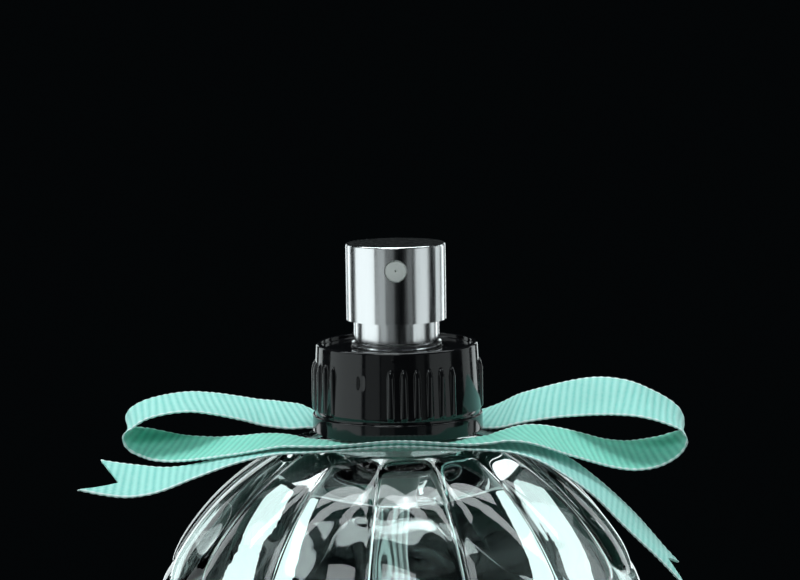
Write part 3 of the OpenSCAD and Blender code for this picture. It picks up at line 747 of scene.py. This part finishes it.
LEFT_LOOP = (
    (0, STRAND_Y, BACK_Z, 0, 0), (-6, STRAND_Y - 0.1, BACK_Z, 0, 0), (-10.6, 9.3, 1.05, 5, 0),
    (-13.6, 7.6, 1.95, 15, 0), (-16.6, 6.1, 2.4, 22, 0), (-19.6, 4.9, 3, 21, 0),
    (-22.7, 3.6, 3.9, 17, 0), (-26, 2.2, 4.7, 15, 0), (-29.4, 1, 5.2, 15, 0),
    (-32.8, 0.2, 5, 15, 0), (-35.8, 0, 4.2, 14, -2), (-37.7, 0, 2.9, 17, -2),
    (-38, 0, 1.5, 22, -2), (-36.8, -0.1, 0.3, 26, -2), (-34.4, -0.4, -0.5, 26, 0),
    (-31.9, -1.3, -0.9, 22, 0), (-29, -2.3, -0.9, 18, 0), (-26, -3.6, -0.6, 13, 0),
    (-22.8, -5.2, 0, 8, 0), (-19.2, -6.9, 0.7, 6, 0), (-15.8, -8.4, 1.1, 3, 0),
    (-12.6, -9.5, 1, 0, 0), (-9, -STRAND_Y + 0.4, 0.8, 0, 0),
    (-5, -STRAND_Y + 0.05, LOOP_Z, 0, 0), (0, -STRAND_Y, LOOP_Z, 0, 0),
)
LEFT_TAIL = (
    (0, -STRAND_Y, TAIL_Z, 0, 0), (-5, -STRAND_Y + 0.05, TAIL_Z, 0, 0),
    (-9, -STRAND_Y + 0.3, 0.25, 0, 0), (-12.5, -9.8, 0.25, 0, 0), (-16, -9.5, 0.15, 0, 0),
    (-19.7, -9.2, -0.4, 1, 0), (-23.4, -9, -1.3, 3, 0), (-27.7, -9, -2.6, 8, 0),
    (-32.3, -9, -3.7, 17, 0), (-36.4, -9, -3.9, 26, 0), (-40, -9, -3.5, 29, 0),
    (-43.4, -9, -2.8, 30, 0),
)
RIGHT_TAIL = (
    (0, -STRAND_Y, TAIL_Z, 0, 0), (5, -STRAND_Y + 0.05, TAIL_Z, 0, 0),
    (9, -STRAND_Y + 0.3, 0.25, 0, 0), (12.5, -9.8, 0.2, 0, 2), (16, -9.4, -0.1, 2, 5),
    (19.8, -8.9, -1.2, 5, 8), (23.6, -8.2, -3.3, 9, 8), (27.3, -7.5, -6.2, 9, 8),
    (31, -7, -9.8, 9, 8), (34.4, -6.5, -13.3, 9, 8), (37.1, -6.2, -16.3, 10, 6),
    (39.9, -6.1, -19.4, 11, 4),
)


def smooth_path(stations, per_span=40, closed=False):
    """The curve through the stations (Catmull-Rom), sampled evenly between them."""
    p = np.array(stations, float)
    ends = (p[-2], p[1]) if closed else (p[0], p[-1])
    p = np.concatenate([ends[0][None], p, ends[1][None]])
    spans = len(p) - 3
    u = np.linspace(0, spans, spans * per_span + 1)
    i = np.minimum(u.astype(int), spans - 1)
    t = (u - i)[:, None]
    a, b, c, d = p[i], p[i + 1], p[i + 2], p[i + 3]
    return 0.5 * (2 * b + (c - a) * t + (2 * a - 5 * b + 4 * c - d) * t ** 2
                  + (3 * b - a - 3 * c + d) * t ** 3)


def ribbon_frames(path, step):
    """Even steps along the path: places, width directions and length so far, in metres."""
    place = path[:, :3] * MM + np.array([0, 0, SHOULDER_Z])
    length = np.concatenate([[0], np.cumsum(np.linalg.norm(np.diff(place, axis=0), axis=1))])
    count = max(2, int(round(length[-1] / step)))
    at = np.linspace(0, length[-1], count + 1)
    place = np.stack([np.interp(at, length, place[:, k]) for k in range(3)], -1)
    tilt = np.radians(np.interp(at, length, path[:, 3]))
    turn = np.radians(np.interp(at, length, path[:, 4]))
    across = np.stack(
        [np.sin(turn) * np.cos(tilt), np.cos(turn) * np.cos(tilt), np.sin(tilt)], -1)
    return place, across, at


def strip_points(path, sets, notches=(0, 0), inner=1, curl=None):
    """A woven strip: a flat loop of points round its section, carried along the path.

    Ribs raise both faces by a rounded wave along the length, and the edges bulge with
    them. notches gives the depth cut into each end, deepest in front of the middle. The
    face on the inner side has its UV set two strips further on, to take painted light shining
    through the cloth.
    curl lifts the front edge by the given amount where x is small.
    """
    step = sets.rib_pitch / 8
    place, across, at = ribbon_frames(path, step)
    lanes = np.array([-1, -0.985, -0.95, -0.88, -0.75, -0.5, -0.25, 0,
                      0.25, 0.5, 0.75, 0.88, 0.95, 0.985, 1])
    v = np.concatenate([lanes, lanes[::-1]])
    side = np.concatenate([np.ones(len(lanes)), -np.ones(len(lanes))])
    total = at[-1]
    reach = np.interp(v, (-1, -0.25, 1), (0, 1, 0.35))
    low = notches[0] * reach
    high = notches[1] * reach
    run = at[:, None] * (total - low - high) / total + low
    centre = np.stack([np.interp(run, at, place[:, k]) for k in range(3)], -1)
    wide = np.stack([np.interp(run, at, across[:, k]) for k in range(3)], -1)
    ahead = np.gradient(place, at, axis=0)
    ahead = np.stack([np.interp(run, at, ahead[:, k]) for k in range(3)], -1)
    ahead /= np.linalg.norm(ahead, axis=-1, keepdims=True)
    wide -= ahead * (wide * ahead).sum(-1, keepdims=True)
    wide /= np.linalg.norm(wide, axis=-1, keepdims=True)
    up = np.cross(ahead, wide)
    wave = 0.5 + 0.5 * np.cos(2 * math.pi * run / sets.rib_pitch)
    rib = 0.00007 * wave ** 0.8
    rim = np.sqrt(np.clip(1 - np.abs(v) ** 24, 0, 1))
    half = side * (sets.thickness / 2 - 0.00005 + rib) * (0.35 + 0.65 * rim)
    sway = 0.00012 * np.sin(run / 0.0061 + 2.3 * v) + 0.00008 * np.sin(run / 0.0023 - 1.7 * v)
    sway = sway * np.clip(np.abs(centre[..., 0]) / 0.014 - 0.8, 0, 1)
    width = sets.width / 2 * v + np.sign(v) * 0.00005 * wave * (np.abs(v) > 0.97)
    offset = half + sway
    if curl:
        near = np.exp(-(centre[..., 0] / 0.0095) ** 2) * (centre[..., 1] < 0)
        offset = offset + curl * near * np.clip((-v - 0.25) / 0.75, 0, 1) ** 1.5
    points = centre + wide * width[..., None] + up * offset[..., None]
    # The inner face's lanes sit two strips on, where the material paints light shining through
    # the cloth.
    lane = (v + 1) / 2 + 2 * (side == inner)
    uv = np.stack([run / sets.rib_pitch, np.broadcast_to(lane, run.shape)], -1)
    return points, uv


def caps(points, uv):
    """Adds a row at each end that closes the strip onto its own middle."""
    def closed(row):
        return 0.5 * (row + row[::-1])
    points = np.concatenate([closed(points[0])[None], points, closed(points[-1])[None]])
    return points, np.concatenate([uv[:1], uv, uv[-1:]])


def ribbon_material(sets):
    """Ribbed ribbon: painted highlight on the rib crests and painted shade in the grooves between
    them, a darker, greener copy of these colours on the loops' inner face as painted light
    shining through the cloth, fine warp threads and pale woven edges.
    """
    shade = Shade("mint_ribbon", sets.lit_thread, 0.62, Sheen_Weight=0.35, Sheen_Roughness=0.4)
    shade.shader.inputs["Specular IOR Level"].default_value = 0.35
    place = shade.node("ShaderNodeUVMap", uv_map="cloth")
    parts = shade.node("ShaderNodeSeparateXYZ")
    shade.link(place.outputs["UV"], parts.inputs[0])

    def maths(operation, a, b=None):
        made = shade.node("ShaderNodeMath", operation=operation)
        for socket, value in zip(made.inputs, (a, b)):
            if value is None:
                continue
            if hasattr(value, "links"):
                shade.link(value, socket)
            else:
                socket.default_value = value
        return made.outputs[0]

    def mix(share, a, b):
        made = shade.node("ShaderNodeMix", data_type="RGBA")
        for socket, value in ((made.inputs[0], share), (made.inputs[6], a), (made.inputs[7], b)):
            if hasattr(value, "links"):
                shade.link(value, socket)
            elif isinstance(value, float):
                socket.default_value = value
            else:
                socket.default_value = (*value, 1)
        return made.outputs[2]

    along = parts.outputs[0]
    # inside marks the inner face, which gets the painted light shining through the cloth.
    inside = maths("GREATER_THAN", parts.outputs[1], 1.5)
    wide = maths("SUBTRACT", parts.outputs[1], maths("MULTIPLY", inside, 2.0))
    warp_threads = 28

    def wave(operation, turns):
        return maths("ADD", maths("MULTIPLY", maths(operation, turns), 0.5), 0.5)

    rib = wave("COSINE", maths("MULTIPLY", along, 2 * math.pi))
    warp = wave("SINE", maths("MULTIPLY", wide, 2 * math.pi * warp_threads))
    edge = maths("GREATER_THAN", maths("ABSOLUTE", maths("SUBTRACT", wide, 0.5)), 0.462)
    spots = shade.node("ShaderNodeTexNoise", Scale=1800.0, Detail=3.0)
    coords = shade.node("ShaderNodeTexCoord")
    shade.link(coords.outputs["Object"], spots.inputs["Vector"])
    soft = shade.node("ShaderNodeTexNoise", Scale=110.0, Detail=2.0)
    shade.link(coords.outputs["Object"], soft.inputs["Vector"])
    # On the inner face the crest and groove colours switch to their painted copies for light
    # shining through the cloth.
    crest = mix(inside, sets.lit_thread, sets.backlit_inner_thread)
    shaded_valley = mix(inside, sets.shaded_groove, sets.backlit_inner_groove)
    # Painted highlight on the rib crests, painted shade in the grooves between them.
    ribs = mix(maths("POWER", rib, 0.8), shaded_valley, crest)
    lighter = mix(maths("MULTIPLY", spots.outputs["Fac"], 0.35), ribs, sets.selvedge)
    tone = mix(maths("MULTIPLY", soft.outputs["Fac"], 0.35), lighter, shaded_valley)
    edged = mix(maths("MULTIPLY", edge, maths("ADD", maths("MULTIPLY", rib, 0.5), 0.5)),
                tone, sets.selvedge)
    shade.link(edged, shade.shader.inputs["Base Color"])
    fibres = maths("ADD", maths("MULTIPLY", warp, 0.35),
                   maths("MULTIPLY", spots.outputs["Fac"], 0.65))
    shade.link(maths("ADD", maths("MULTIPLY", spots.outputs["Fac"], 0.25), 0.5),
               shade.shader.inputs["Roughness"])
    shade.bump(fibres, 0.5, 0.00006)
    return shade.material


class ATOMISER_OT_tie_ribbon(bpy.types.Operator):
    """Lays the bow's loop band and its tails under the collar"""

    bl_idname = "atomiser.tie_ribbon"
    bl_label = "Tie the ribbon"

    def execute(self, context):
        sets = context.scene.atomiser_ribbon
        cloth = ribbon_material(sets)
        ring = RIGHT_LOOP + LEFT_LOOP[1:]
        loops, uv = strip_points(smooth_path(ring, closed=True), sets, curl=0.00125)
        band = mesh_from_grid("ribbon_loop_band", loops, wrap=True, uv=uv)
        strand = LEFT_TAIL[::-1] + RIGHT_TAIL[1:]
        # inner picks the tails' face that gets the painted light shining through the cloth.
        tails, uv = strip_points(
            smooth_path(strand), sets, curl=0.00105, notches=(sets.notch, 0.8 * sets.notch),
            inner=-1)
        tails, uv = caps(tails, uv)
        tie = mesh_from_grid("ribbon_tails", tails, wrap=True, uv=uv)
        for piece, nodes, stations in (
                (band, ("ribbon_loop_left", "ribbon_loop_right"), ring),
                (tie, ("ribbon_tail_left", "ribbon_tail_right"), strand)):
            piece.data.materials.append(cloth)
            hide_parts(*nodes)
            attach(piece, "bottle")
        return {"FINISHED"}


# ---------- stage ----------

def add_light(name, place, aim, size, power, color=(0.90, 0.99, 1.0)):
    """A soft rectangular light at place that faces aim."""
    data = bpy.data.lights.new(name, "AREA")
    data.shape = "RECTANGLE"
    data.size, data.size_y = size
    data.energy = power
    data.color = color
    lamp = bpy.data.objects.new(name, data)
    lamp.location = place
    lamp.rotation_euler = (Vector(aim) - Vector(place)).to_track_quat("-Z", "Y").to_euler()
    lamp.visible_camera = False
    bpy.context.scene.collection.objects.link(lamp)


# Upright soft boxes round the object: azimuth of the middle (from the front, + to the
# right), heights of the lower and upper edge, half width, brightness.
BOX_DISTANCE = 0.48
STUDIO_DARK = (0.0012, 0.0017, 0.002, 1)
LAMPS = (
    ("left_box", -78, -0.34, 0.26, 0.26, 1.2),
    ("left_card", -34, -0.10, 0.22, 0.085, 0.42),
    ("centre_card", -13, -0.05, 0.20, 0.075, 0.15),
    ("left_rear_box", -136, -0.34, 0.26, 0.06, 1.6),
    ("rear_box", -160, -0.34, 0.20, 0.05, 1.4),
    ("warm_card", 32, -0.20, 0.20, 0.05, 0.16),
    ("right_box", 63, -0.34, 0.18, 0.15, 0.8),
    ("right_rear_box", 113, -0.34, 0.26, 0.08, 0.8),
    ("far_right_box", 138, -0.34, 0.26, 0.06, 1.6),
    ("right_back_box", 163, -0.34, 0.20, 0.04, 1.4),
)


# Narrow soft boxes overhead, side by side: name and distance to the right of the middle.
TOP_STRIPS = (("top_strip_1", -0.21), ("top_strip_2", -0.07), ("top_strip_3", 0.07),
              ("top_strip_4", 0.21))
STRIP_SIZE = (0.055, 0.46)
STRIP_BRIGHTNESS = 6.0


def add_box_light(name, azimuth, low, high, half, brightness):
    """An upright soft box that faces the axis; brightness is the light it shows."""
    turn = math.radians(azimuth)
    middle = (low + high) / 2
    place = Vector((math.sin(turn), -math.cos(turn), 0)) * BOX_DISTANCE
    place.z = middle
    size = (2 * half, high - low)
    add_light(name, place, (0, 0, middle), size, brightness * size[0] * size[1] * math.pi)


class ATOMISER_OT_set_stage(bpy.types.Operator):
    """Sets out the floor, the lights and the camera"""

    bl_idname = "atomiser.set_stage"
    bl_label = "Set the stage"

    def execute(self, context):
        sets = context.scene.atomiser_stage
        rings = np.array([[0, 0], [0.5, 0], [1, 0], [1, -0.002 / sets.floor_radius]])
        points = turned(rings * sets.floor_radius, 128)
        floor = mesh_from_grid("pale_floor", points, wrap=True, pole_start=True)
        shade = Shade("floor_paper", (0.72, 0.73, 0.73), 0.7)
        floor.data.materials.append(handled(shade, 0.6, 0.8, 300, height=0.05))
        world = bpy.data.worlds.new("studio")
        world.use_nodes = True
        world.node_tree.nodes["Background"].inputs["Color"].default_value = STUDIO_DARK
        context.scene.world = world
        for name, azimuth, low, high, half, power in LAMPS:
            add_box_light(name, azimuth, low, high, half, power)
        for name, side in TOP_STRIPS:
            add_light(name, (side, 0.04, 0.46), (0.5 * side, 0.02, 0.06), STRIP_SIZE,
                      STRIP_BRIGHTNESS * STRIP_SIZE[0] * STRIP_SIZE[1] * math.pi)
        add_light("front_box", (-0.10, -0.34, 0.47), (0, 0, 0.07), (0.30, 0.16),
                  5.0 * 0.30 * 0.16 * math.pi)
        camera = bpy.data.objects.new("camera", bpy.data.cameras.new("camera"))
        camera.data.lens = sets.lens
        camera.data.sensor_width = 36
        camera.data.clip_start = 0.01
        ahead = Vector((0, math.cos(sets.pitch), -math.sin(sets.pitch)))
        target = Vector((sets.aim_side, 0, sets.aim_height))
        turn = ahead.to_track_quat("-Z", "Y").to_matrix() @ Matrix.Rotation(sets.roll, 3, "Z")
        camera.matrix_world = Matrix.Translation(target - ahead * sets.distance) @ turn.to_4x4()
        context.scene.collection.objects.link(camera)
        context.scene.camera = camera
        context.scene.view_settings.view_transform = "Standard"
        return {"FINISHED"}


# ---------- add-on ----------

STEPS = (
    ATOMISER_OT_blow_bottle,
    ATOMISER_OT_pour_perfume,
    ATOMISER_OT_finish_pump,
    ATOMISER_OT_finish_collar,
    ATOMISER_OT_finish_spray_head,
    ATOMISER_OT_tie_ribbon,
    ATOMISER_OT_set_stage,
)


class ATOMISER_PT_panel(bpy.types.Panel):
    """Lists the steps and settings of the atomiser"""

    bl_label = "Perfume Atomiser"
    bl_idname = "ATOMISER_PT_panel"
    bl_space_type = "VIEW_3D"
    bl_region_type = "UI"
    bl_category = "Atomiser"

    def draw(self, context):
        layout = self.layout
        for step in STEPS:
            layout.operator(step.bl_idname)
        for name, group in SETTINGS:
            box = layout.box()
            for key in group.__annotations__:
                box.prop(getattr(context.scene, name), key)


def register():
    for name, group in SETTINGS:
        bpy.utils.register_class(group)
        setattr(bpy.types.Scene, name, bpy.props.PointerProperty(type=group))
    for step in STEPS:
        bpy.utils.register_class(step)
    bpy.utils.register_class(ATOMISER_PT_panel)


def unregister():
    bpy.utils.unregister_class(ATOMISER_PT_panel)
    for step in reversed(STEPS):
        bpy.utils.unregister_class(step)
    for name, group in reversed(SETTINGS):
        delattr(bpy.types.Scene, name)
        bpy.utils.unregister_class(group)


def main():
    register()
    for step in STEPS:
        group, name = step.bl_idname.split(".")
        getattr(getattr(bpy.ops, group), name)()


if __name__ == "__main__":
    main()
